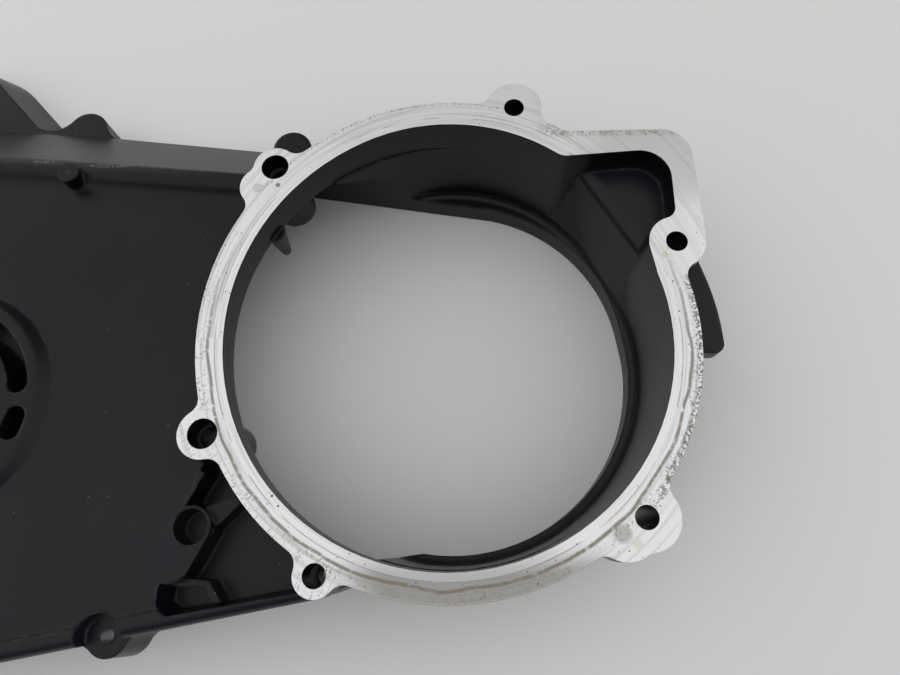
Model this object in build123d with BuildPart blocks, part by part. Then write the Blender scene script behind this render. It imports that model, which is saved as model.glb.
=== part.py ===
"""Inner primary cover: one die-cast aluminium part of a motorcycle primary drive.

Frame in millimetres: X forward along the engine, Y up, Z inboard.
The origin is the crank axis where it meets the outboard gasket face.
"""

import os
from math import acos, atan, atan2, cos, degrees, radians, sin, sqrt, tan

from build123d import *

os.makedirs("parts", exist_ok=True)

# overall levels above the outboard gasket face
flange_height = 82.0
flange_depth = 16.0
band_depth = 12.0
web_level = 67.0
web_thickness = 5.0
rail_height = 14.5

# crank opening: main arc about the crank axis, a wider arc behind and a tighter one above
bore_radius = 103.6
swell_growth = 7.8
swell_angle = 213.2
top_shrink = 8.5
top_angle = 116.4
flange_width = 12.8
drum_thickness = 6.4
wall_draft = 1.7
ledge_round = 4.0
relief_depth = 1.6
relief_angle = 195.0

# crankcase screw holes and the lobes round them
screw_hole_radius = 5.15
screw_tube_radius = 9.0
sleeve_hole_radius = 6.9
sleeve_depth = 12.0
screw_holes = [(34.4, 123.1), (109.8, 46.1), (84.6, -81.5), (-55.5, -105.0)]
screw_lobes = [14.2, 13.6, 14.6, 9.4]
sleeve_holes = [(-109.6, -44.9), (-87.4, 90.8)]
sleeve_lobes = [11.6, 11.0]
side_lobe_centres = [(75.5, -86.5), (-93.8, 80.0)]
side_lobes = [13.2, 10.6]
lobe_blend = 7.0
sleeve_tube_radius = 11.0
tube_end = 38.0

# squared corner of the flange
corner_right = 121.6
corner_top = 108.2
corner_left = 50.0
corner_low = (124.0, 46.0)
corner_foot = (100.0, 40.0)
corner_round = 15.0

# corner pocket inside the flange, open to the crank opening
pocket_left = (44.0, 93.0)
pocket_bend = (60.0, 94.1)
pocket_right = 110.9
pocket_top = 97.3
pocket_low = 50.0
pocket_neck = (96.4, 46.0)
pocket_foot = (99.0, 31.5)
pocket_round = 15.0
notch_radius = 13.0
opening_blend = 8.0
pocket_blend = 6.0
pocket_floor = 66.0
pocket_bottom = 6.0
pocket_wall = 5.0
pocket_wall_foot = 20.0
pocket_edge_angle = 30.7
pocket_edge_distance = 107.0
pocket_edge_round = 7.0
pocket_span = 70.0
pocket_flare = 15.0

# tray outline, inner edge of the outboard gasket rail
rail_width = 7.3
front_radius = 97.3
front_top_angle = 11.5
front_bottom_angle = -99.0
bulge_centre = (10.1, 17.3)
bulge_radius = 82.5
top_line_start = 104.5
top_line_end_x = 24.0
top_slope = 0.1665
bottom_line_start = -96.9
bottom_slope = 0.19
bottom_corner = (-36.0, -99.3)
bottom_line_end_x = -62.0
bottom_round = 12.0
rear_x = -255.0

# rim round the web
rim_rise = 1.4
rim_width = 9.0
rim_round = 5.0

# raised ridge along the upper edge of the web, with the shoulder that falls from it
crest_start = 78.9
crest_slope = 0.10
ridge_level = 75.3
ridge_run = 8.3
ridge_round = 8.0
ridge_foot_round = 8.0
shoulder_angle = 45.0

# wall between the tray and the crank opening, where the two nearly touch
merge_start_x = -57.0
merge_end_x = -29.0
merge_foot = 4.0

# clutch shaft hub
hub_centre = (-250.0, -27.0)
hub_foot_radius = 60.0
hub_level = 71.0
hub_slope = 50.0
hub_round = 3.0
hub_barrel_radius = 57.0
hub_end = 40.0
bearing_radius = 31.0
seal_radius = 25.0
seal_depth = 11.0
hub_pocket_radii = [44.0, 45.5, 48.0, 44.0, 44.0]
hub_pocket_width = 10.0
hub_pocket_floor = 52.0
hub_pocket_starts = [12.0, -17.0, -75.0, 100.0, 190.0]
hub_pocket_sweeps = [66.0, 8.0, 34.0, 66.0, 66.0]

# starter tower and the swelling beside it
starter_centre = (-316.0, 88.0)
starter_pad_radius = 38.0
starter_bore_radius = 30.0
starter_level = 75.0
starter_end = 52.0
swelling_centre = (-322.0, 163.0)
swelling_radius = 52.5
swelling_level = 27.0
swelling_draft = 20.0
flank_angle = 43.2
flank_length = 65.0
flank_blend = 16.0
flank_left = -400.0
flank_right = -185.0

# outboard rail screw bosses and their tapped holes
rail_boss_radius = 11.0
rail_boss_draft = 2.0
rail_boss_round = 2.5
side_boss_bevel = 1.5
upper_bosses = [(-93.3, 131.5), (-225.3, 153.8)]
upper_boss_radii = [12.5, 12.2]
upper_boss_levels = [38.0, swelling_level]
rear_boss_angles = [145.0, 180.0, 215.0, 255.0]
front_boss_angles = [55.0, 5.0, -45.0]
side_boss_level = 26.0
boss_offset = 9.5
rail_tap_radius = 2.8
rail_tap_depth = 13.0

# lower tab
tab_centre = (-152.0, -130.9)
tab_radius = 11.2
tab_level = 58.0
tab_foot_level = 36.0
tab_draft = 4.4
tab_blend = 9.0
tab_reach = 26.0
tab_tap_radius = 3.1
tab_tap_depth = 22.0
scallop_radius = 10.1

# sunk corner beside the ring, with a raised pad and two low ribs
sunk_floor = 51.0
sunk_shell = 5.0
sunk_round = 2.5
sunk_draft = 7.0
pad_hole_centre = (-116.0, -84.5)
pad_hole_radius = 7.9
pad_hole_depth = 14.0
pad_radius = 9.3
pad_length = 17.0
pad_angle = 243.0
pad_rise = 1.0
rib_level = 63.0
wide_rib_angle = 33.0
wide_rib_start = 8.0
wide_rib_end = 23.0
wide_rib_start_width = 10.5
wide_rib_end_width = 4.5
narrow_rib = 3.2
narrow_rib_bend = (-107.7, -109.0)
narrow_rib_end = (-101.0, -118.6)
pad_lip = 2.0
pad_lip_length = 23.0
sunk_corners = [
    (-113.2, -61.0), (-109.0, -50.0), (-96.0, -46.0), (-55.0, -88.0), (-58.0, -109.2),
    (-122.0, -120.2), (-126.5, -117.0), (-126.0, -104.0), (-121.6, -75.6)
]

# drip post under the ring
post_centre = (-90.7, 64.0)
post_radius = 5.5
post_end = 40.0
post_draft = 7.0

# front ear
ear_radius = 134.3
ear_top = 60.0
ear_thickness = 9.0
ear_start = -1.5
ear_end = 26.0
ear_small_round = 5.0
ear_large_round = 9.0

# locating pin on the web
pin_centre = (-198.8, 93.8)
pin_radius = 5.4
pin_level = 76.0

# how far a cut runs past the face it leaves, and a length past every face
past = 1.0
beyond = 600.0


def polar(centre, radius, angle):
    """Point at an angle in degrees from a centre."""
    return (centre[0] + radius * cos(radians(angle)), centre[1] + radius * sin(radians(angle)))


def top_line(x):
    """Height of the tray's upper inner edge."""
    return top_line_start - top_slope * x


def bottom_line(x):
    """Height of the tray's lower inner edge."""
    return bottom_line_start + bottom_slope * x


# rear arc of the tray, tangent to the upper and lower lines
top_tilt = degrees(atan(top_slope))
bottom_tilt = degrees(atan(bottom_slope))
top_cos = cos(radians(top_tilt))
bottom_cos = cos(radians(bottom_tilt))
rear_y = (top_line(rear_x) * top_cos + bottom_line(rear_x) * bottom_cos) / (top_cos + bottom_cos)
rear_radius = (top_line(rear_x) - rear_y) * top_cos
rear_centre = (rear_x, rear_y)

# the arcs of the crank opening follow one another without a corner
swell_radius = bore_radius + swell_growth
top_radius = bore_radius - top_shrink
swell_centre = polar((0, 0), bore_radius - swell_radius, swell_angle)
top_centre = polar(swell_centre, swell_radius - top_radius, top_angle)
centre_gap = sqrt(top_centre[0] ** 2 + top_centre[1] ** 2)
centre_angle = degrees(atan2(top_centre[1], top_centre[0]))
front_tangent = centre_angle - degrees(acos(top_shrink / centre_gap))
wall_run = (flange_height - rail_height) * tan(radians(wall_draft))


def ring_outline(grow):
    """Outline of the crank opening, grown outward by a distance."""
    main = bore_radius + grow
    swell = swell_radius + grow
    top = top_radius + grow
    main_start = polar((0, 0), main, front_tangent)
    main_end = polar((0, 0), main, swell_angle)
    swell_end = polar(swell_centre, swell, top_angle)
    top_end = polar(top_centre, top, front_tangent)
    with BuildSketch() as outline:
        with BuildLine():
            ThreePointArc(main_start, polar((0, 0), main, -60), main_end)
            ThreePointArc(main_end, polar(swell_centre, swell, 165), swell_end)
            ThreePointArc(swell_end, polar(top_centre, top, 72), top_end)
            Line(top_end, main_start)
        make_face()
    return outline.sketch


# inner edge of the outboard rail
top_line_end = (top_line_end_x, top_line(top_line_end_x))
front_top = polar((0, 0), front_radius, front_top_angle)
front_bottom = polar((0, 0), front_radius, front_bottom_angle)
bottom_line_end = (bottom_line_end_x, bottom_line(bottom_line_end_x))
top_tangent = polar(rear_centre, rear_radius, 90 - top_tilt)
bottom_tangent = polar(rear_centre, rear_radius, bottom_tilt - 90)
with BuildSketch() as tray_inner:
    with BuildLine():
        Line(top_tangent, top_line_end)
        ThreePointArc(top_line_end, polar(bulge_centre, bulge_radius, 45), front_top)
        ThreePointArc(front_top, polar((0, 0), front_radius, -37), front_bottom)
        Line(front_bottom, bottom_corner)
        Line(bottom_corner, bottom_line_end)
        Line(bottom_line_end, bottom_tangent)
        ThreePointArc(bottom_tangent, polar(rear_centre, rear_radius, 180), top_tangent)
    make_face()
    fillet(tray_inner.vertices().sort_by_distance((*bottom_corner, 0))[0], bottom_round)
    fillet(tray_inner.vertices().sort_by_distance((*bottom_line_end, 0))[0], bottom_round)
with BuildSketch() as tray_outer:
    add(tray_inner.sketch)
    offset(amount=rail_width, kind=Kind.ARC)

# flange face outline with its lobes and the front corner
with BuildSketch() as corner_block:
    Polygon(
        (corner_left, corner_low[1]), (corner_left, corner_top), (corner_right, corner_top), corner_low,
        corner_foot, align=None
    )
    fillet(corner_block.vertices().sort_by_distance((corner_right, corner_top, 0))[0], corner_round)
with BuildSketch() as flange_outer:
    add(ring_outline(flange_width))
    add(corner_block.sketch)
    for point, radius in zip(screw_holes, screw_lobes):
        with Locations(point):
            Circle(radius)
    for point, radius in zip(sleeve_holes, sleeve_lobes):
        with Locations(point):
            Circle(radius)
    for point, radius in zip(side_lobe_centres, side_lobes):
        with Locations(point):
            Circle(radius)
    offset(amount=lobe_blend, kind=Kind.ARC)
    offset(amount=-lobe_blend, kind=Kind.ARC)

# opening in the flange face, the crank opening run together with the corner pocket
with BuildSketch() as face_opening:
    Polygon(
        pocket_left, pocket_bend, (pocket_right, pocket_top), (pocket_right, pocket_low), pocket_neck,
        pocket_foot, (corner_left, corner_low[1]), align=None
    )
    fillet(face_opening.vertices().sort_by_distance((pocket_right, pocket_top, 0))[0], pocket_round)
    with Locations(screw_holes[1]):
        Circle(notch_radius, mode=Mode.SUBTRACT)
    add(ring_outline(0))
    offset(amount=opening_blend, kind=Kind.ARC)
    offset(amount=-opening_blend - pocket_blend, kind=Kind.ARC)
    offset(amount=pocket_blend, kind=Kind.ARC)

# raised pad of the sunk corner and the ribs that run from it
pad_end = polar(pad_hole_centre, pad_length, pad_angle)
pad_side = pad_angle - 90
lip_start = polar(pad_hole_centre, pad_radius, pad_side)
lip_end = polar(lip_start, -pad_lip_length, pad_angle)
rib_start = polar(pad_hole_centre, wide_rib_start, wide_rib_angle)
rib_end = polar(pad_hole_centre, wide_rib_end, wide_rib_angle)
rib_side = wide_rib_angle + 90
with BuildSketch() as pad_area:
    with Locations(pad_hole_centre, pad_end):
        Circle(pad_radius)
    Polygon(
        polar(pad_hole_centre, pad_radius, pad_side), polar(pad_end, pad_radius, pad_side),
        polar(pad_end, -pad_radius, pad_side), polar(pad_hole_centre, -pad_radius, pad_side), align=None
    )
    Polygon(
        lip_start, polar(lip_start, -pad_lip, pad_side), polar(lip_end, -pad_lip, pad_side), lip_end,
        align=None
    )
with BuildSketch() as sunk_ribs:
    Polygon(
        polar(rib_start, wide_rib_start_width / 2, rib_side),
        polar(rib_end, wide_rib_end_width / 2, rib_side),
        polar(rib_end, -wide_rib_end_width / 2, rib_side),
        polar(rib_start, -wide_rib_start_width / 2, rib_side), align=None
    )
    with BuildLine() as narrow_rib_line:
        Polyline(polar(pad_end, pad_radius - past, 270), narrow_rib_bend, narrow_rib_end)
        offset(amount=narrow_rib / 2, kind=Kind.ARC)
    make_face()

# sunk corner at the lower left of the ring
with BuildSketch() as sunk_outline:
    Polygon(*sunk_corners, align=None)
with BuildSketch() as sunk_area:
    add(sunk_outline.sketch)
    Circle(bore_radius + flange_width, mode=Mode.SUBTRACT)
    add(pad_area.sketch, mode=Mode.SUBTRACT)
    offset(amount=-sunk_round, kind=Kind.ARC)
    offset(amount=sunk_round, kind=Kind.ARC)
with BuildSketch() as sunk_wall:
    add(sunk_outline.sketch)
    offset(amount=sunk_shell, kind=Kind.ARC)
    Circle(bore_radius + flange_width - sunk_shell, mode=Mode.SUBTRACT)

# front ear, an arc about the crank axis
with BuildSketch() as ear_outline:
    Circle(ear_radius)
    Circle(bore_radius, mode=Mode.SUBTRACT)
    Polygon(
        (0, 0), polar((0, 0), 2 * ear_radius, ear_start), polar((0, 0), 2 * ear_radius, ear_end),
        align=None, mode=Mode.INTERSECT
    )
    low_corner = polar((0, 0), ear_radius, ear_start)
    high_corner = polar((0, 0), ear_radius, ear_end)
    fillet(ear_outline.vertices().sort_by_distance((*low_corner, 0))[0], ear_small_round)
    fillet(ear_outline.vertices().sort_by_distance((*high_corner, 0))[0], ear_large_round)

# plane square to the crest line: its first axis runs outward across the ridge, its second up
crest_tilt = radians(-degrees(atan(crest_slope)))
crest_plane = Plane(
    origin=(0, crest_start, 0), x_dir=(-sin(crest_tilt), cos(crest_tilt), 0),
    z_dir=(cos(crest_tilt), sin(crest_tilt), 0)
)
shoulder_fall = tan(radians(shoulder_angle))
shoulder_reach = ridge_level / shoulder_fall

# ridge along the upper edge, and the space above its sloping shoulder
with BuildPart() as ridge:
    with BuildSketch(crest_plane.offset(-beyond)):
        Polygon(
            (-3 * ridge_run, 0), (-3 * ridge_run, web_level), (-ridge_run, web_level), (0, ridge_level),
            (shoulder_reach, 0), align=None
        )
    extrude(amount=2 * beyond)
    crest_axis = Axis(crest_plane.origin, crest_plane.z_dir)
    fillet(ridge.edges().filter_by(crest_axis).sort_by(Axis.Z)[-1], ridge_round)
    ridge_foot = (0, crest_start - ridge_run, web_level)
    fillet(ridge.edges().filter_by(crest_axis).sort_by_distance(ridge_foot)[0], ridge_foot_round)
with BuildPart() as ridge_limit:
    with BuildSketch():
        add(tray_outer.sketch)
    extrude(amount=ridge_level)
    fillet(ridge_limit.edges().group_by(Axis.Z)[-1], rim_round)
with BuildPart() as above_shoulder:
    with BuildSketch(crest_plane.offset(-beyond)):
        Polygon(
            (0, ridge_level), (shoulder_reach, 0), (shoulder_reach, 2 * flange_height),
            (0, 2 * flange_height), align=None
        )
    extrude(amount=2 * beyond)

# low swelling behind the starter, with the flat that joins it to the wall and the nearest boss
flank_start = polar(swelling_centre, swelling_radius, flank_angle)
flank_end = polar(flank_start, flank_length, flank_angle - 90)
with BuildSketch() as swelling_area:
    with Locations(swelling_centre):
        Circle(swelling_radius)
    Polygon(
        flank_start, flank_end, (flank_end[0], starter_centre[1]), (swelling_centre[0], starter_centre[1]),
        align=None
    )
with BuildSketch() as flank_area:
    add(swelling_area.sketch)
    offset(amount=-swelling_level * tan(radians(swelling_draft)), kind=Kind.ARC)
    add(tray_outer.sketch)
    with Locations(upper_bosses[1]):
        Circle(upper_boss_radii[1])
    offset(amount=flank_blend, kind=Kind.ARC)
    offset(amount=-flank_blend, kind=Kind.ARC)
    Polygon(
        (flank_left, starter_centre[1]), (flank_right, starter_centre[1]), (flank_right, -flank_left),
        (flank_left, -flank_left), align=None, mode=Mode.INTERSECT
    )
with BuildPart() as swelling:
    with BuildSketch():
        add(swelling_area.sketch)
    extrude(amount=swelling_level, taper=swelling_draft)
    with BuildSketch():
        add(flank_area.sketch)
    extrude(amount=swelling_level)

# tray body, rounded round the top of its wall
with BuildPart() as tray_body:
    with BuildSketch():
        add(tray_outer.sketch)
    extrude(amount=web_level + rim_rise)
    fillet(tray_body.edges().group_by(Axis.Z)[-1], rim_round)
    with BuildSketch(Plane.XY.offset(web_level)):
        add(tray_outer.sketch)
        offset(amount=-rim_width, kind=Kind.ARC)
    extrude(amount=rim_rise + past, taper=-35, mode=Mode.SUBTRACT)
    add(above_shoulder.part, mode=Mode.SUBTRACT)
    add(ridge_limit.part & ridge.part)
    add(swelling.part)
    with BuildSketch():
        with Locations(starter_centre):
            Circle(starter_pad_radius)
    extrude(amount=starter_level)

# ceiling of the tray, following the web and the sloping shoulder
ceiling = web_level - web_thickness
shoulder_drop = web_thickness / cos(radians(shoulder_angle))
ceiling_bend = (ridge_level - shoulder_drop - ceiling) / shoulder_fall
with BuildPart() as under_web:
    with BuildSketch(crest_plane.offset(-beyond)):
        Polygon(
            (-beyond, -past), (-beyond, ceiling), (ceiling_bend, ceiling),
            (ceiling_bend + (ceiling + past) / shoulder_fall, -past), align=None
        )
    extrude(amount=2 * beyond)

# wall that carries the crank opening over to the tray's upper edge
merge_low = rail_height + merge_foot
merge_start_angle = degrees(acos((merge_start_x - swell_centre[0]) / swell_radius))
merge_end_angle = degrees(acos((merge_end_x - top_centre[0]) / top_radius))
merge_back = top_line(merge_start_x) + drum_thickness + web_level
with BuildPart() as merge_wall:
    with BuildSketch(Plane.XY.offset(merge_low)):
        Polygon(
            (merge_start_x, top_line(merge_start_x)), (merge_end_x, top_line(merge_end_x)),
            (merge_end_x, merge_back), (merge_start_x, merge_back), align=None
        )
    with BuildSketch(Plane.XY.offset(web_level)):
        with BuildLine():
            merge_first = polar(swell_centre, swell_radius, merge_start_angle)
            merge_last = polar(top_centre, top_radius, merge_end_angle)
            ThreePointArc(merge_first, polar(swell_centre, swell_radius, top_angle), merge_last)
            Polyline(merge_last, (merge_end_x, merge_back), (merge_start_x, merge_back), merge_first)
        make_face()
    loft(ruled=True)

with BuildPart() as cavity:
    with BuildSketch(Plane.XY.offset(-past)):
        add(tray_inner.sketch)
    extrude(amount=ridge_level)
    add(under_web.part, mode=Mode.INTERSECT)
    add(merge_wall.part, mode=Mode.SUBTRACT)
    with BuildSketch(Plane.XY.offset(-past)):
        add(swelling_area.sketch)
        offset(amount=-rail_width, kind=Kind.ARC)
    extrude(amount=swelling_level - web_thickness + past, taper=swelling_draft)

# crank opening above the rail, drafted and rounded where it meets the ledge
with BuildPart() as ring_bore:
    with BuildSketch(Plane.XY.offset(rail_height)):
        add(ring_outline(-wall_run))
    extrude(amount=flange_height - rail_height + past, taper=-wall_draft)
    fillet(ring_bore.edges().group_by(Axis.Z)[0], ledge_round)


def crank_side(angle, distance):
    """Region on the crank side of a line square to an angle."""
    foot = polar((0, 0), distance, angle)
    with BuildSketch() as side:
        Polygon(
            polar(foot, pocket_span, angle + 90), polar(foot, -pocket_span, angle + 90),
            polar((0, 0), -pocket_span, angle + 90), polar((0, 0), pocket_span, angle + 90), align=None
        )
    return side.sketch


# space over the pocket's floor and its rounded edge, above the wall that flares from the crank opening
edge_plane = Plane(
    origin=(0, 0, 0), x_dir=(cos(radians(pocket_edge_angle)), sin(radians(pocket_edge_angle)), 0),
    z_dir=(sin(radians(pocket_edge_angle)), -cos(radians(pocket_edge_angle)), 0)
)
edge_low = pocket_floor - pocket_edge_round
edge_out = pocket_edge_distance + pocket_edge_round
edge_mid = pocket_edge_round * (1 - cos(radians(45)))
pocket_mid = (pocket_edge_distance + edge_mid, pocket_floor - edge_mid)
pocket_roof = flange_height + 2 * past
with BuildPart() as pocket_limit:
    with BuildSketch(Plane.XY.offset(pocket_wall_foot)):
        add(crank_side(front_tangent, bore_radius - wall_run))
    with BuildSketch(Plane.XY.offset(edge_low)):
        add(crank_side(pocket_edge_angle, pocket_edge_distance))
    loft(ruled=True)
    with BuildSketch(Plane.XY.offset(pocket_wall_foot)):
        add(ring_outline(-wall_run))
    extrude(amount=edge_low - pocket_wall_foot, taper=-pocket_flare, mode=Mode.INTERSECT)
    with BuildSketch(edge_plane.offset(-beyond)):
        with BuildLine():
            Line((0, edge_low), (pocket_edge_distance, edge_low))
            ThreePointArc((pocket_edge_distance, edge_low), pocket_mid, (edge_out, pocket_floor))
            Polyline((edge_out, pocket_floor), (beyond, pocket_floor), (beyond, pocket_roof), (0, pocket_roof))
            Line((0, pocket_roof), (0, edge_low))
        make_face()
    extrude(amount=2 * beyond)
with BuildPart() as pocket:
    with BuildSketch(Plane.XY.offset(rail_height)):
        add(face_opening.sketch)
        offset(amount=-wall_run, kind=Kind.ARC)
    extrude(amount=flange_height - rail_height + past, taper=-wall_draft)
    add(pocket_limit.part, mode=Mode.INTERSECT)

# wall behind the pocket's slope
with BuildPart() as pocket_shell:
    with BuildSketch(Plane.XY.offset(pocket_wall_foot)):
        add(crank_side(front_tangent, bore_radius - wall_run + pocket_wall))
    with BuildSketch(Plane.XY.offset(pocket_floor)):
        add(crank_side(pocket_edge_angle, edge_out))
    loft(ruled=True)
    with BuildSketch():
        add(face_opening.sketch)
        offset(amount=pocket_wall, kind=Kind.ARC)
    extrude(amount=flange_height, mode=Mode.INTERSECT)

# shallow undercut below the machined band, deepest towards the rear
with BuildPart() as relief:
    with BuildSketch(Plane.XY.offset(ceiling - past)):
        with Locations(polar((0, 0), relief_depth, relief_angle)):
            add(ring_outline(0))
    extrude(amount=flange_height - band_depth - ceiling + past)


def upper_boss(point, radius, level):
    """Drafted screw boss beside the upper rail, rounded at its top."""
    with BuildPart() as boss:
        with BuildSketch():
            with Locations(point):
                Circle(radius)
        extrude(amount=level, taper=rail_boss_draft)
        fillet(boss.edges().group_by(Axis.Z)[-1], rail_boss_round)
    return boss.part


def side_boss(point):
    """Drafted screw boss beside the rail, bevelled at its top."""
    bevel_foot = side_boss_level - side_boss_bevel
    bevel_radius = rail_boss_radius - bevel_foot * tan(radians(rail_boss_draft))
    with BuildPart() as boss:
        with BuildSketch():
            with Locations(point):
                Circle(rail_boss_radius)
        extrude(amount=bevel_foot, taper=rail_boss_draft)
        with BuildSketch(Plane.XY.offset(bevel_foot)):
            with Locations(point):
                Circle(bevel_radius)
        extrude(amount=side_boss_bevel, taper=45)
    return boss.part


side_bosses = []
for angle in rear_boss_angles:
    side_bosses.append(polar(rear_centre, rear_radius + boss_offset, angle))
for angle in front_boss_angles:
    side_bosses.append(polar((0, 0), front_radius + boss_offset, angle))

# lug of the lower tab, blended into the wall
with BuildSketch() as tab_area:
    add(tray_outer.sketch)
    with Locations(tab_centre):
        Circle(tab_radius)
    offset(amount=tab_blend, kind=Kind.ARC)
    offset(amount=-tab_blend, kind=Kind.ARC)
    with Locations(tab_centre):
        Rectangle(2 * tab_reach, 2 * tab_reach, mode=Mode.INTERSECT)

# raised hub round the clutch shaft
with BuildPart() as hub:
    with BuildSketch(Plane.XY.offset(web_level - past)):
        with Locations(hub_centre):
            Circle(hub_foot_radius)
    extrude(amount=hub_level - web_level + past, taper=hub_slope)
    fillet(hub.edges().group_by(Axis.Z)[-1], hub_round)

with BuildPart() as cover:
    # outer shape
    add(tray_body.part)
    with BuildSketch():
        add(ring_outline(drum_thickness))
    extrude(amount=flange_height)
    with BuildSketch(Plane.XY.offset(flange_height - flange_depth)):
        add(flange_outer.sketch)
    extrude(amount=flange_depth)
    with BuildSketch(Plane.XY.offset(pocket_floor - pocket_bottom)):
        add(corner_block.sketch)
    extrude(amount=pocket_bottom + past)
    add(pocket_shell.part)
    add(hub.part)

    # screw bosses outside the rail, lower tab
    for point, radius, level in zip(upper_bosses, upper_boss_radii, upper_boss_levels):
        add(upper_boss(point, radius, level))
    for point in side_bosses:
        add(side_boss(point))
    with BuildSketch(Plane.XY.offset(tab_foot_level)):
        add(tab_area.sketch)
    extrude(amount=tab_level - tab_foot_level, taper=tab_draft)

    # front ear
    with BuildSketch(Plane.XY.offset(ear_top - ear_thickness)):
        add(ear_outline.sketch)
    extrude(amount=ear_thickness)

    # inside of the tray and the crank opening
    add(cavity.part, mode=Mode.SUBTRACT)
    add(ring_bore.part, mode=Mode.SUBTRACT)
    add(relief.part, mode=Mode.SUBTRACT)
    add(pocket.part, mode=Mode.SUBTRACT)

    # walls and bosses that stand inside the tray
    with BuildSketch(Plane.XY.offset(sunk_floor - sunk_shell)):
        add(sunk_wall.sketch)
    extrude(amount=ceiling + past - sunk_floor + sunk_shell)
    with BuildSketch(Plane.XY.offset(tab_level - sunk_shell)):
        with Locations(tab_centre):
            Circle(scallop_radius + sunk_shell)
        add(tray_outer.sketch, mode=Mode.INTERSECT)
    extrude(amount=ceiling + past - tab_level + sunk_shell)
    with BuildSketch(Plane.XY.offset(tube_end)):
        with Locations(sleeve_holes):
            Circle(sleeve_tube_radius)
    extrude(amount=ceiling + past - tube_end)
    with BuildSketch(Plane.XY.offset(tube_end)):
        with Locations(screw_holes):
            Circle(screw_tube_radius)
    extrude(amount=flange_height - flange_depth + past - tube_end)
    with BuildSketch(Plane.XY.offset(hub_end)):
        with Locations(hub_centre):
            Circle(hub_barrel_radius)
    extrude(amount=ceiling + past - hub_end)
    with BuildSketch(Plane.XY.offset(starter_end)):
        with Locations(starter_centre):
            Circle(starter_bore_radius + web_thickness)
    extrude(amount=ceiling + past - starter_end)

    # sunk corner round its pad, with the low ribs
    with BuildSketch(Plane.XY.offset(sunk_floor)):
        add(sunk_area.sketch)
    extrude(amount=flange_height - flange_depth - sunk_floor, taper=-sunk_draft, mode=Mode.SUBTRACT)
    with BuildSketch(Plane.XY.offset(flange_height - flange_depth)):
        add(sunk_area.sketch)
        offset(amount=(flange_height - flange_depth - sunk_floor) * tan(radians(sunk_draft)), kind=Kind.ARC)
        add(flange_outer.sketch, mode=Mode.SUBTRACT)
    extrude(amount=flange_depth, mode=Mode.SUBTRACT)
    with BuildSketch(Plane.XY.offset(sunk_floor - past)):
        add(sunk_ribs.sketch)
        add(sunk_outline.sketch, mode=Mode.INTERSECT)
    extrude(amount=rib_level - sunk_floor + past)
    with BuildSketch(Plane.XY.offset(web_level - past)):
        add(pad_area.sketch)
    extrude(amount=pad_rise + past)

    # pin beside the ridge, drip post under the ring
    with BuildSketch(Plane.XY.offset(web_level - past)):
        with Locations(pin_centre):
            Circle(pin_radius)
    extrude(amount=pin_level - web_level + past)
    with BuildSketch(Plane.XY.offset(ceiling + past)):
        with Locations(post_centre):
            Circle(post_radius)
    extrude(amount=post_end - ceiling - past, taper=post_draft)

    # scallop over the lower tab and its tapped hole
    with BuildSketch(Plane.XY.offset(tab_level)):
        with Locations(tab_centre):
            Circle(scallop_radius)
    extrude(amount=flange_height, mode=Mode.SUBTRACT)
    with Locations((*tab_centre, tab_level)):
        Hole(tab_tap_radius, depth=tab_tap_depth)

    # crankcase screws
    with BuildSketch(Plane.XY.offset(tube_end)):
        with Locations(screw_holes + sleeve_holes):
            Circle(screw_hole_radius)
    extrude(amount=flange_height - tube_end, mode=Mode.SUBTRACT)
    with BuildSketch(Plane.XY.offset(flange_height)):
        with Locations(sleeve_holes):
            Circle(sleeve_hole_radius)
    extrude(amount=-sleeve_depth, mode=Mode.SUBTRACT)
    with BuildSketch(Plane.XY.offset(web_level + pad_rise)):
        with Locations(pad_hole_centre):
            Circle(pad_hole_radius)
    extrude(amount=-pad_hole_depth, mode=Mode.SUBTRACT)

    # clutch shaft bearing, its seal and the pockets round them
    with BuildSketch(Plane.XY.offset(hub_end)):
        with Locations(hub_centre):
            Circle(bearing_radius)
    extrude(amount=hub_level - seal_depth - hub_end, mode=Mode.SUBTRACT)
    with BuildSketch(Plane.XY.offset(hub_end)):
        with Locations(hub_centre):
            Circle(seal_radius)
    extrude(amount=hub_level - hub_end, mode=Mode.SUBTRACT)
    with BuildSketch(Plane.XY.offset(hub_pocket_floor)):
        with Locations(hub_centre):
            for radius, start, sweep in zip(hub_pocket_radii, hub_pocket_starts, hub_pocket_sweeps):
                SlotArc(CenterArc((0, 0), radius, start, sweep), hub_pocket_width)
    extrude(amount=hub_level - hub_pocket_floor, mode=Mode.SUBTRACT)

    # starter bore
    with BuildSketch():
        with Locations(starter_centre):
            Circle(starter_bore_radius)
    extrude(amount=starter_level, mode=Mode.SUBTRACT)

    # tapped holes in the outboard rail
    with BuildSketch():
        with Locations(upper_bosses + side_bosses):
            Circle(rail_tap_radius)
    extrude(amount=rail_tap_depth, mode=Mode.SUBTRACT)

cover.part.label = "inner_primary_cover"
export_step(cover.part, "parts/inner_primary_cover.step")
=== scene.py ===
from math import cos, radians, sin

import bpy
from mathutils import Matrix, Vector


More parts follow.
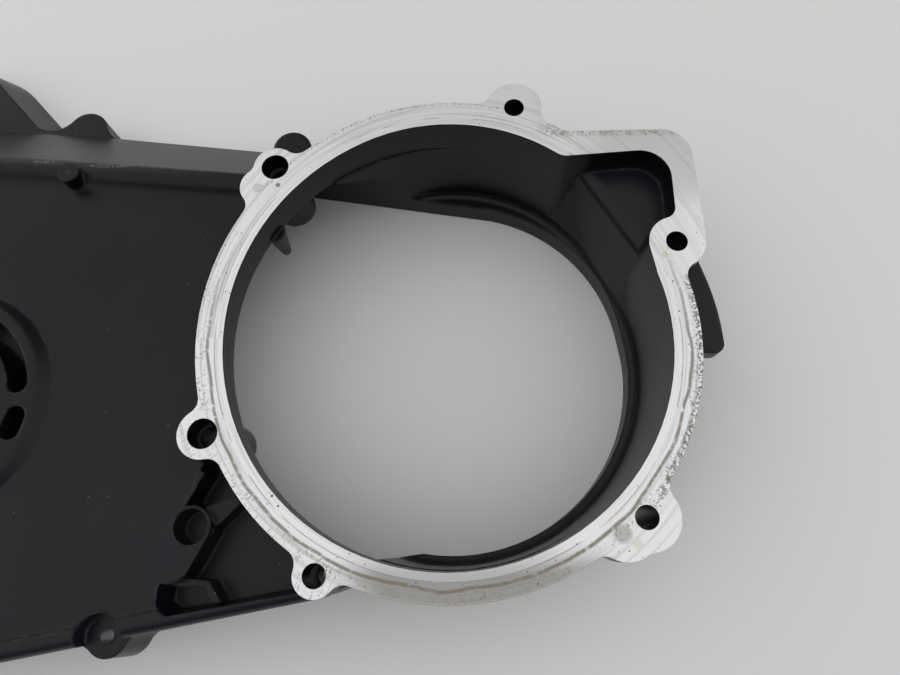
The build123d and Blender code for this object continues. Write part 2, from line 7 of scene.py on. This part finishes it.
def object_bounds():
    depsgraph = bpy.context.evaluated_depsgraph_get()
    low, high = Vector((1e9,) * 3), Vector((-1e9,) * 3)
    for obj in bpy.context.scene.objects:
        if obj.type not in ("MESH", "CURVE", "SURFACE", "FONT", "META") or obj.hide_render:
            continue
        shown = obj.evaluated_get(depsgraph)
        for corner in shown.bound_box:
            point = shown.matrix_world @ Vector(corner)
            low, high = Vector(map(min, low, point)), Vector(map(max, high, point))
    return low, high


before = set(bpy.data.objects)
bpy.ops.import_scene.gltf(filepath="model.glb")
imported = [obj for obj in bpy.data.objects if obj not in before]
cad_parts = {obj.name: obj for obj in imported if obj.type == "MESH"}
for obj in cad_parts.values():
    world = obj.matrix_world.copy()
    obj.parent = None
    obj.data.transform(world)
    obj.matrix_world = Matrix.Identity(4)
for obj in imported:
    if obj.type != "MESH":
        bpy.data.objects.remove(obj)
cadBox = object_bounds()
mm = 0.001


def linear(hexColour):
    # sRGB hex to the linear values that the shaders take
    channels = [int(hexColour[i:i + 2], 16) / 255 for i in (1, 3, 5)]
    return [c / 12.92 if c <= 0.04045 else ((c + 0.055) / 1.055) ** 2.4 for c in channels] + [1.0]


def addNode(tree, kind, settings=None, links=None):
    # one node with its settings and what feeds it; keys that aren't properties are inputs
    node = tree.nodes.new(kind)
    for key, value in (settings or {}).items():
        if isinstance(key, str) and hasattr(node, key):
            setattr(node, key, value)
        else:
            node.inputs[key].default_value = value
    for key, source in (links or {}).items():
        tree.links.new(source, node.inputs[key])
    return node


def newMaterial(name):
    material = bpy.data.materials.new(name)
    material.use_nodes = True
    material.node_tree.nodes.clear()
    return material, material.node_tree


# camera where the photograph was taken from
cameraSetup = {
    "place": (12.0 * mm, -96.0 * mm, 379.5 * mm),
    "right": (0.99937, 0.0, -0.0356),
    "forward": (-0.0339, 0.3040, -0.9521),
    "lens": 27.08,
    "sensor": 36.0,
}


def makeCamera(setup):
    data = bpy.data.cameras.new("camera")
    data.lens = setup["lens"]
    data.sensor_width = setup["sensor"]
    data.clip_start = 0.01
    camera = bpy.data.objects.new("camera", data)
    bpy.context.collection.objects.link(camera)
    forward = Vector(setup["forward"]).normalized()
    right = Vector(setup["right"])
    right = (right - right.dot(forward) * forward).normalized()
    up = right.cross(forward)
    turn = Matrix((right, up, -forward)).transposed().to_4x4()
    camera.matrix_world = Matrix.Translation(setup["place"]) @ turn
    bpy.context.scene.camera = camera


makeCamera(cameraSetup)
print("camera placed")

# satin black electrocoat on die-cast aluminium, with both gasket faces and the bores cut bare by a mill:
# a near-black skin that only shows as a soft grey sheen, and a pale ring with fine marks along its arc
castingLook = {
    # outline of the opening: a main arc, a wider rear arc and a tighter upper arc
    "opening": {
        "boreRadius": 103.6,
        "swellRadius": 111.4,
        "swellAngle": 213.2,
        "topRadius": 95.1,
        "topAngle": 116.4,
    },
    "faceLevel": 82.0,
    "faceMidRadius": 110.0,  # lengths along the face are taken at this radius
    "coating": "#07080e",
    "coatingGrey": "#16181e",
    "coatingWornAndHighlight": "#6d6e70",
    "dust": "#a3a29c",
    "metal": "#eff0f2",
    "metalDull": "#b9b8b5",
    "metalDarker": "#94938e",
    "cutterLine": "#8b8b8e",
    "residue": "#8a8070",
    "grime": "#6a6254",
    "pore": "#2b2724",
    "coatingSheen": 0.28,  # specular level of the coating, below that of a clear paint
    "coatingRoughness": 0.34,
    "roughnessSpread": 0.12,
    "metalRoughness": 0.36,
    "dirtRoughness": 0.62,
    "dirtHides": 0.7,  # share of the metal that residue hides
    "edgeRadius": 2.2,  # rounding of the cast edges and of the cut ones, in millimetres
    "cutEdgeRadius": 0.35,
    "grainDepth": 0.010,  # heights in millimetres
    "waveDepth": 0.12,
    "castFloorDepth": 0.03,
    "toolMarkDepth": 0.004,
    "castFloorLevel": 66.0,  # the corner pocket's floor
    "levelTolerance": 0.3,
    "cutTolerance": 0.06,
    "cutFade": 0.1,
    "boreReach": 0.1,  # a bore's wall counts as cut up to this far outside its radius
    # centre, radius, lower end and upper end of each bore
    "bores": (((-250.0, -27.0), 31.0, 39.0, 60.5), ((-152.0, -130.9), 3.1, 30.0, 57.9)),
    # noise in lumps: size in millimetres, and detail; cast grain is finer, drawn coarser so that it shows
    "lumps": {
        "grain": (0.8, 2.0),
        "speck": (1.1, 5.0),
        "crumb": (2.8, 4.0),
        "rubAndHighlight": (7.0, 4.0),
        "wave": (15.0, 1.0),
        "stain": (22.0, 3.0),
        "cloud": (60.0, 5.0),
    },
    # noise drawn out: millimetres across the arc and along it; the mill's feed marks are drawn coarser too
    "strokes": {
        "toolMark": (0.4, 34.0),
        "toolBand": (2.2, 90.0),
        "wander": (60.0, 26.0),
        "chatter": (5.0, 0.6),
    },
    "poreSpacing": 2.4,  # millimetres
    "dustSpacing": 9.0909,
    "trackWander": 5.0,  # how far the gasket's track strays
    "borderWave": 9.0,
    "greyDirection": (0.5, -0.86),
    "greyWave": 4.0,
    "patchCorner": (-166.0, -84.0),
    "patchSquare": (0.387, 0.922),
    "toolBands": (("toolBand", 0.15, 0.55),),
    "coatingClouds": (("cloud", 0.45, 0.95),),
    # what is laid over the cut faces, in order: colour, strength, and where each measure starts and is full
    "faceLayers": {
        # the first two only make the face darker towards the bottom and towards the upper right corner
        "darkerLowerFace": ("metalDarker", 0.9, (("y", -90.0, -106.0), ("x", -55.0, -25.0), ("x", 74.0, 60.0))),
        "darkerUpperRightFace": ("metalDarker", 0.5, (("y", 60.0, 80.0), ("x", 60.0, 85.0))),
        "brightLobes": ("metal", 0.35, (("edge", 11.5, 14.0),)),
        "cutterMarks": ("cutterLine", 0.45, (("toolMark", 0.56, 0.72), ("edge", 15.0, 12.0))),
        "cleanBand": ("metal", 0.3, (("edge", 4.0, 3.7),)),
        "gasketEnd": ("cutterLine", 0.8, (("edge", 3.4, 3.7), ("edge", 4.2, 3.7), ("stain", 0.42, 0.55))),
        "gasketTrack": ("residue", 0.8, (
            ("track", 5.9, 6.7), ("track", 8.1, 7.3), ("crumb", 0.26, 0.5), ("y", 70.0, -20.0))),
        "gasketCrumbs": ("residue", 0.75, (
            ("edge", 6.5, 9.0), ("edge", 13.6, 12.6), ("speck", 0.54, 0.66), ("stain", 0.40, 0.6),
            ("y", 70.0, -10.0))),
        "frontGrime": ("grime", 0.85, (
            ("edge", 9.0, 11.4), ("edge", 16.0, 13.5), ("x", 70.0, 100.0), ("y", 32.0, 24.0),
            ("speck", 0.46, 0.56))),
        "cornerCrust": ("residue", 0.7, (("y", 104.0, 106.6), ("x", 40.0, 60.0), ("speck", 0.44, 0.6))),
        "upperCrust": ("residue", 0.7, (
            ("edge", 10.2, 12.2), ("edge", 14.0, 12.8), ("y", 60.0, 90.0), ("x", 40.0, 20.0),
            ("speck", 0.5, 0.62))),
        "chatterMarks": ("cutterLine", 0.45, (
            ("chatter", 0.55, 0.66), ("edge", 7.5, 8.5), ("x", -25.0, -50.0), ("y", -25.0, -50.0))),
        "openPores": ("pore", 0.9, (
            ("toPore", 0.17, 0.10), ("poreChance", 0.62, 0.64), ("stain", 0.42, 0.6))),
    },
    # round marks on the face: centre, radius, colour and strength
    "faceMarks": (
        ((-85.1, 80.4), 1.5, "#5d564a", 0.75),
        ((-95.1, 78.9), 3.4, "#97938c", 0.35),
        ((103.5, 38.9), 2.2, "#c9c7a8", 0.5),
        ((111.9, 34.1), 2.9, "#eaeaea", 0.7),
        ((73.9, -88.2), 5.0, "#8d887e", 0.5),
        ((73.9, -88.2), 3.2, "#bdbdbb", 0.6),
        ((79.8, -92.2), 2.6, "#e0dccb", 0.75),
        ((-75.8, -72.2), 0.7, "#2b2724", 0.9),
        ((-72.8, -76.5), 0.6, "#2b2724", 0.9),
        ((107.2, 10.6), 0.5, "#2b2724", 0.9),
        ((105.9, 25.6), 0.5, "#2b2724", 0.9),
    ),
    "markRim": 0.55,  # a mark is full inside this share of its radius
    # the same for the coating: a greyer web, a patch behind the sunk corner, edges lightened partly by rubbed
    # paint and partly by a painted edge highlight, settled dust
    "coatingMarksAndHighlights": {
        "greyedWeb": ("coatingGrey", 0.75, (("towardGrey", -140.0, -30.0), ("z", 72.0, 69.0))),
        "greyPatch": ("coatingGrey", 0.8, (
            ("patchBorder", -0.3, 0.6), ("patchBorder", 40.0, 12.0), ("wavyX", -167.0, -164.0),
            ("x", -116.0, -124.0))),
        # the light edge line is partly worn paint and partly a painted highlight along every edge
        "rubbedAndHighlightedEdges": ("coatingWornAndHighlight", 0.3, (("flatness", 0.985, 0.90), ("rubAndHighlight", 0.42, 0.66))),
        "dustSpecks": ("dust", 0.6, (("toDust", 0.035, 0.02),)),
    },
    # scuffs along the ridge: centre, and half length and half width
    "scuffs": (((-215.0, 103.6), (9.0, 1.6)), ((-179.0, 100.4), (15.0, 1.9))),
    "scuffStrength": 0.55,
    "scuffGrain": (0.50, 0.62),
}


def along(centre, radius, angle):
    return (centre[0] + radius * cos(radians(angle)), centre[1] + radius * sin(radians(angle)))


def distanceFromOpening(tree, shape):
    # each point in millimetres, the same without its height, and how far it lies outside the opening's edge
    coordinates = addNode(tree, "ShaderNodeTexCoord")
    point = addNode(tree, "ShaderNodeVectorMath", {"operation": "SCALE", "Scale": 1 / mm},
                    {0: coordinates.outputs["Object"]}).outputs[0]
    flat = addNode(tree, "ShaderNodeVectorMath", {"operation": "MULTIPLY", 1: (1, 1, 0)},
                   {0: point}).outputs[0]
    swellCentre = along((0, 0), shape["boreRadius"] - shape["swellRadius"], shape["swellAngle"])
    topCentre = along(swellCentre, shape["swellRadius"] - shape["topRadius"], shape["topAngle"])
    distances = []
    for centre, radius in (((0, 0), "boreRadius"), (swellCentre, "swellRadius"), (topCentre, "topRadius")):
        reach = addNode(tree, "ShaderNodeVectorMath", {"operation": "DISTANCE", 1: (*centre, 0)},
                        {0: flat})
        past = addNode(tree, "ShaderNodeMath", {"operation": "SUBTRACT", 1: shape[radius]},
                       {0: reach.outputs["Value"]})
        distances.append(past.outputs[0])
    # the side of the line through each tangent point says which arc is the edge
    sides = []
    for centre, angle in (((0, 0), shape["swellAngle"]), (swellCentre, shape["topAngle"])):
        fromCentre = addNode(tree, "ShaderNodeVectorMath", {"operation": "SUBTRACT", 1: (*centre, 0)},
                             {0: flat})
        square = along((0, 0), 1.0, angle + 90)
        lean = addNode(tree, "ShaderNodeVectorMath", {"operation": "DOT_PRODUCT", 1: (*square, 0)},
                       {0: fromCentre.outputs[0]})
        side = addNode(tree, "ShaderNodeMath", {"operation": "GREATER_THAN", 1: 0.0},
                       {0: lean.outputs["Value"]})
        sides.append(side.outputs[0])
    rearOrTop = addNode(tree, "ShaderNodeMix", {"data_type": "FLOAT"},
                        {"Factor": sides[1], 2: distances[2], 3: distances[1]})
    edge = addNode(tree, "ShaderNodeMix", {"data_type": "FLOAT"},
                   {"Factor": sides[0], 2: rearOrTop.outputs[0], 3: distances[0]})
    return point, flat, edge.outputs[0]


def where(tree, m, limits):
    # mask that is 1 where every measure is past the value at which it is full
    mask = None
    for name, start, full in limits:
        step = addNode(tree, "ShaderNodeMapRange",
                       {"interpolation_type": "SMOOTHSTEP", "From Min": start, "From Max": full},
                       {"Value": m[name]}).outputs[0]
        if mask is None:
            mask = step
        else:
            mask = addNode(tree, "ShaderNodeMath", {"operation": "MULTIPLY"}, {0: mask, 1: step}).outputs[0]
    return mask


def cover(tree, under, colour, strength, mask):
    # lays a colour over what is there
    share = addNode(tree, "ShaderNodeMath", {"operation": "MULTIPLY", 1: strength}, {0: mask})
    laid = addNode(tree, "ShaderNodeMix", {"data_type": "RGBA", 7: linear(colour)},
                   {"Factor": share.outputs[0], 6: under})
    return laid.outputs[2]


def coverAll(tree, under, look, m, layers):
    # lays each layer over the last, and keeps the masks by name
    masks = {}
    for name, (colour, strength, limits) in layers.items():
        masks[name] = where(tree, m, limits)
        under = cover(tree, under, look[colour], strength, masks[name])
    return under, masks


def distanceTo(tree, m, centre, stretch=(1.0, 1.0)):
    # distance from a point seen from above, in units of stretch
    offset = addNode(tree, "ShaderNodeVectorMath", {"operation": "SUBTRACT", 1: (*centre, 0)}, {0: m["flat"]})
    scaled = addNode(tree, "ShaderNodeVectorMath", {"operation": "DIVIDE", 1: (*stretch, 1)},
                     {0: offset.outputs[0]})
    return addNode(tree, "ShaderNodeVectorMath", {"operation": "LENGTH"},
                   {0: scaled.outputs[0]}).outputs["Value"]


def measureNoise(tree, look, m):
    for name, (size, detail) in look["lumps"].items():
        m[name] = addNode(tree, "ShaderNodeTexNoise", {"Scale": 1 / size, "Detail": detail, "Roughness": 0.6},
                          {"Vector": m["point"]}).outputs[0]
    # the face unrolled: distance from the edge by length along the arc
    turn = addNode(tree, "ShaderNodeMath", {"operation": "ARCTAN2"}, {0: m["y"], 1: m["x"]})
    arc = addNode(tree, "ShaderNodeMath", {"operation": "MULTIPLY", 1: look["faceMidRadius"]},
                  {0: turn.outputs[0]})
    unrolled = addNode(tree, "ShaderNodeCombineXYZ", None, {0: m["edge"], 1: arc.outputs[0]})
    for name, (width, length) in look["strokes"].items():
        drawn = addNode(tree, "ShaderNodeVectorMath", {"operation": "DIVIDE", 1: (width, length, 1)},
                        {0: unrolled.outputs[0]})
        m[name] = addNode(tree, "ShaderNodeTexNoise", {"Scale": 1.0, "Detail": 2.0},
                          {"Vector": drawn.outputs[0]}).outputs[0]
    pores = addNode(tree, "ShaderNodeTexVoronoi", {"Scale": 1 / look["poreSpacing"]}, {"Vector": m["point"]})
    chance = addNode(tree, "ShaderNodeSeparateColor", None, {0: pores.outputs["Color"]})
    specks = addNode(tree, "ShaderNodeTexVoronoi", {"Scale": 1 / look["dustSpacing"]}, {"Vector": m["point"]})
    m["toPore"] = pores.outputs["Distance"]
    m["poreChance"] = chance.outputs[0]
    m["toDust"] = specks.outputs["Distance"]


def measureBorders(tree, look, m):
    # the gasket's track, the borders of the grey areas and how flat the surface is near a point
    strays = look["trackWander"]
    bend = addNode(tree, "ShaderNodeMath", {"operation": "MULTIPLY_ADD", 1: -strays, 2: strays / 2},
                   {0: m["wander"]})
    m["track"] = addNode(tree, "ShaderNodeMath", {"operation": "ADD"},
                         {0: m["edge"], 1: bend.outputs[0]}).outputs[0]
    swing = look["borderWave"]
    wavy = addNode(tree, "ShaderNodeMath", {"operation": "MULTIPLY_ADD", 1: swing, 2: -swing / 2},
                   {0: m["wave"]}).outputs[0]
    m["wavyX"] = addNode(tree, "ShaderNodeMath", {"operation": "ADD"}, {0: m["x"], 1: wavy}).outputs[0]
    across = addNode(tree, "ShaderNodeVectorMath",
                     {"operation": "DOT_PRODUCT", 1: (*look["greyDirection"], 0)}, {0: m["flat"]})
    m["towardGrey"] = addNode(tree, "ShaderNodeMath", {"operation": "MULTIPLY_ADD", 1: look["greyWave"]},
                              {0: wavy, 2: across.outputs["Value"]}).outputs[0]
    fromCorner = addNode(tree, "ShaderNodeVectorMath",
                         {"operation": "SUBTRACT", 1: (*look["patchCorner"], 0)}, {0: m["flat"]})
    above = addNode(tree, "ShaderNodeVectorMath", {"operation": "DOT_PRODUCT", 1: (*look["patchSquare"], 0)},
                    {0: fromCorner.outputs[0]})
    m["patchBorder"] = addNode(tree, "ShaderNodeMath", {"operation": "ADD"},
                               {0: above.outputs["Value"], 1: wavy}).outputs[0]
    rounded = addNode(tree, "ShaderNodeBevel", {"samples": 4, "Radius": look["edgeRadius"] * mm})
    facing = addNode(tree, "ShaderNodeNewGeometry")
    turned = addNode(tree, "ShaderNodeVectorMath", {"operation": "DOT_PRODUCT"},
                     {0: rounded.outputs[0], 1: facing.outputs["Normal"]})
    m["flatness"] = turned.outputs["Value"]


def measureCasting(tree, look):
    # every measure that the finishes are laid out by
    point, flat, edge = distanceFromOpening(tree, look["opening"])
    parts = addNode(tree, "ShaderNodeSeparateXYZ", None, {0: point}).outputs
    m = {"point": point, "flat": flat, "edge": edge, "x": parts["X"], "y": parts["Y"], "z": parts["Z"]}
    measureNoise(tree, look, m)
    measureBorders(tree, look, m)
    return m


def milledAluminium(tree, look, m):
    # colour, roughness, height and dirt of the cut faces
    tone = addNode(tree, "ShaderNodeMix",
                   {"data_type": "RGBA", 6: linear(look["metalDull"]), 7: linear(look["metal"])},
                   {"Factor": where(tree, m, look["toolBands"])})
    colour, masks = coverAll(tree, tone.outputs[2], look, m, look["faceLayers"])
    for centre, radius, tint, strength in look["faceMarks"]:
        m["toMark"] = distanceTo(tree, m, centre)
        marked = where(tree, m, (("toMark", radius, radius * look["markRim"]),))
        colour = cover(tree, colour, tint, strength, marked)
    dirt = addNode(tree, "ShaderNodeMath", {"operation": "MAXIMUM"},
                   {0: masks["gasketCrumbs"], 1: masks["gasketTrack"]}).outputs[0]
    roughness = addNode(tree, "ShaderNodeMix",
                        {"data_type": "FLOAT", 2: look["metalRoughness"], 3: look["dirtRoughness"]},
                        {"Factor": dirt})
    height = addNode(tree, "ShaderNodeMath", {"operation": "MULTIPLY", 1: look["toolMarkDepth"]},
                     {0: m["toolMark"]})
    return colour, roughness.outputs[0], height.outputs[0], dirt


def blackElectrocoat(tree, look, m):
    # colour, roughness and height of the coating
    tone = addNode(tree, "ShaderNodeMix",
                   {"data_type": "RGBA", 6: linear(look["coating"]), 7: linear(look["coatingGrey"])},
                   {"Factor": where(tree, m, look["coatingClouds"])})
    colour = coverAll(tree, tone.outputs[2], look, m, look["coatingMarksAndHighlights"])[0]
    for centre, stretch in look["scuffs"]:
        m["toScuff"] = distanceTo(tree, m, centre, stretch)
        scuffed = where(tree, m, (("toScuff", 1.0, 0.5), ("grain", *look["scuffGrain"])))
        colour = cover(tree, colour, look["dust"], look["scuffStrength"], scuffed)
    spread = look["roughnessSpread"]
    roughness = addNode(tree, "ShaderNodeMath",
                        {"operation": "MULTIPLY_ADD", 1: spread, 2: look["coatingRoughness"] - spread / 2},
                        {0: m["cloud"]})
    # the grain is coarser on the floor of the corner pocket
    onFloor = addNode(tree, "ShaderNodeMath",
                      {"operation": "COMPARE", 1: look["castFloorLevel"], 2: look["levelTolerance"]},
                      {0: m["z"]})
    depth = addNode(tree, "ShaderNodeMath",
                    {"operation": "MULTIPLY_ADD", 1: look["castFloorDepth"], 2: look["grainDepth"]},
                    {0: onFloor.outputs[0]})
    waves = addNode(tree, "ShaderNodeMath", {"operation": "MULTIPLY", 1: look["waveDepth"]}, {0: m["wave"]})
    height = addNode(tree, "ShaderNodeMath", {"operation": "MULTIPLY_ADD"},
                     {0: m["grain"], 1: depth.outputs[0], 2: waves.outputs[0]})
    return colour, roughness.outputs[0], height.outputs[0]


def cutFaces(tree, look, m):
    # 1 on both gasket faces and in the bores
    near = look["cutTolerance"]
    fade = look["cutFade"]
    top = addNode(tree, "ShaderNodeMath", {"operation": "GREATER_THAN", 1: look["faceLevel"] - near},
                  {0: m["z"]})
    bottom = addNode(tree, "ShaderNodeMath", {"operation": "LESS_THAN", 1: near}, {0: m["z"]})
    bare = addNode(tree, "ShaderNodeMath", {"operation": "MAXIMUM"},
                   {0: top.outputs[0], 1: bottom.outputs[0]}).outputs[0]
    for centre, radius, low, high in look["bores"]:
        m["toBore"] = distanceTo(tree, m, centre)
        rim = radius + look["boreReach"]
        wall = (("toBore", rim + fade / 2, rim), ("z", low, low + fade), ("z", high, high - fade))
        inBore = where(tree, m, wall)
        bare = addNode(tree, "ShaderNodeMath", {"operation": "MAXIMUM"}, {0: bare, 1: inBore}).outputs[0]
    return bare


def makeCastingMaterial(look):
    material, tree = newMaterial("blackElectrocoatedCastAluminium")
    m = measureCasting(tree, look)
    bare = cutFaces(tree, look, m)
    faceColour, faceRoughness, faceHeight, dirt = milledAluminium(tree, look, m)
    coatColour, coatRoughness, coatHeight = blackElectrocoat(tree, look, m)
    colour = addNode(tree, "ShaderNodeMix", {"data_type": "RGBA"},
                     {"Factor": bare, 6: coatColour, 7: faceColour})
    roughness = addNode(tree, "ShaderNodeMix", {"data_type": "FLOAT"},
                        {"Factor": bare, 2: coatRoughness, 3: faceRoughness})
    height = addNode(tree, "ShaderNodeMix", {"data_type": "FLOAT"},
                     {"Factor": bare, 2: coatHeight, 3: faceHeight})
    clean = addNode(tree, "ShaderNodeMath", {"operation": "MULTIPLY_ADD", 1: -look["dirtHides"], 2: 1.0},
                    {0: dirt})
    metallic = addNode(tree, "ShaderNodeMath", {"operation": "MULTIPLY"}, {0: bare, 1: clean.outputs[0]})

    # a casting's edges are never sharp, the cut ones nearly are
    radius = addNode(tree, "ShaderNodeMix",
                     {"data_type": "FLOAT", 2: look["edgeRadius"] * mm, 3: look["cutEdgeRadius"] * mm},
                     {"Factor": bare})
    rounded = addNode(tree, "ShaderNodeBevel", {"samples": 4}, {"Radius": radius.outputs[0]})
    bump = addNode(tree, "ShaderNodeBump", {"Strength": 1.0, "Distance": mm},
                   {"Height": height.outputs[0], "Normal": rounded.outputs[0]})
    shader = addNode(tree, "ShaderNodeBsdfPrincipled", {"Specular IOR Level": look["coatingSheen"]},
                     {"Base Color": colour.outputs[2], "Metallic": metallic.outputs[0],
                      "Roughness": roughness.outputs[0], "Normal": bump.outputs[0]})
    addNode(tree, "ShaderNodeOutputMaterial", None, {"Surface": shader.outputs[0]})
    return material


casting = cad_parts["inner_primary_cover"]
castingMaterial = makeCastingMaterial(castingLook)
if not casting.material_slots:
    casting.data.materials.append(castingMaterial)
for slot in casting.material_slots:
    slot.material = castingMaterial
print("casting finished")

# floor, one weak soft lamp at the upper left, and air that dims low down on the near and far sides
studio = {
    "floor": "#f2f3f1",
    "floorRoughness": 0.6,
    "floorSize": 40.0,
    "backdrop": "#e4e5e3",
    "air": 0.88,
    "airNear": 0.06,
    "airFar": 0.12,
    "nearDims": (-0.9, -0.35),  # heading along Y at which the air is dimmest, and no longer dim
    "farDims": (0.9, 0.4),
    "keyPower": 4.0,
    "keySize": 1.2,
    "keyPlace": (-1.4, 1.9, 0.95),
}


def makeFloor(look):
    material, tree = newMaterial("paleFloor")
    shader = addNode(tree, "ShaderNodeBsdfPrincipled",
                     {"Base Color": linear(look["floor"]), "Roughness": look["floorRoughness"]})
    addNode(tree, "ShaderNodeOutputMaterial", None, {"Surface": shader.outputs[0]})
    half = look["floorSize"] / 2
    mesh = bpy.data.meshes.new("floor")
    corners = [(-half, -half, 0), (half, -half, 0), (half, half, 0), (-half, half, 0)]
    mesh.from_pydata(corners, [], [(0, 1, 2, 3)])
    mesh.materials.append(material)
    floor = bpy.data.objects.new("floor", mesh)
    floor.location.z = cadBox[0][2] - 0.05 * mm
    bpy.context.collection.objects.link(floor)


def makeLight(look):
    world = bpy.data.worlds.new("studioAir")
    bpy.context.scene.world = world
    world.use_nodes = True
    air = world.node_tree
    air.nodes.clear()
    direction = addNode(air, "ShaderNodeTexCoord")
    parts = addNode(air, "ShaderNodeSeparateXYZ", None, {0: direction.outputs["Generated"]})
    darkest, clear = look["farDims"]
    far = addNode(air, "ShaderNodeMapRange",
                  {"interpolation_type": "SMOOTHSTEP", "From Min": clear, "From Max": darkest,
                   "To Min": look["air"], "To Max": look["airFar"]}, {"Value": parts.outputs["Y"]})
    darkest, clear = look["nearDims"]
    level = addNode(air, "ShaderNodeMapRange",
                    {"interpolation_type": "SMOOTHSTEP", "From Min": darkest, "From Max": clear,
                     "To Min": look["airNear"]}, {"Value": parts.outputs["Y"], "To Max": far.outputs[0]})
    background = addNode(air, "ShaderNodeBackground", {"Color": linear("#ffffff")},
                         {"Strength": level.outputs[0]})
    # the camera itself sees a plain pale backdrop
    backdrop = addNode(air, "ShaderNodeBackground", {"Color": linear(look["backdrop"]), "Strength": 1.0})
    ray = addNode(air, "ShaderNodeLightPath")
    seen = addNode(air, "ShaderNodeMixShader", None,
                   {0: ray.outputs["Is Camera Ray"], 1: background.outputs[0], 2: backdrop.outputs[0]})
    addNode(air, "ShaderNodeOutputWorld", None, {"Surface": seen.outputs[0]})
    lamp = bpy.data.lights.new("softWindow", "AREA")
    lamp.size = look["keySize"]
    lamp.energy = look["keyPower"]
    lampObject = bpy.data.objects.new("softWindow", lamp)
    lampObject.location = look["keyPlace"]
    aim = Vector((0, 0, 0)) - Vector(look["keyPlace"])
    lampObject.rotation_euler = aim.to_track_quat("-Z", "Y").to_euler()
    bpy.context.collection.objects.link(lampObject)


makeFloor(studio)
makeLight(studio)
bpy.context.scene.view_settings.view_transform = "Standard"
print("floor and light placed")
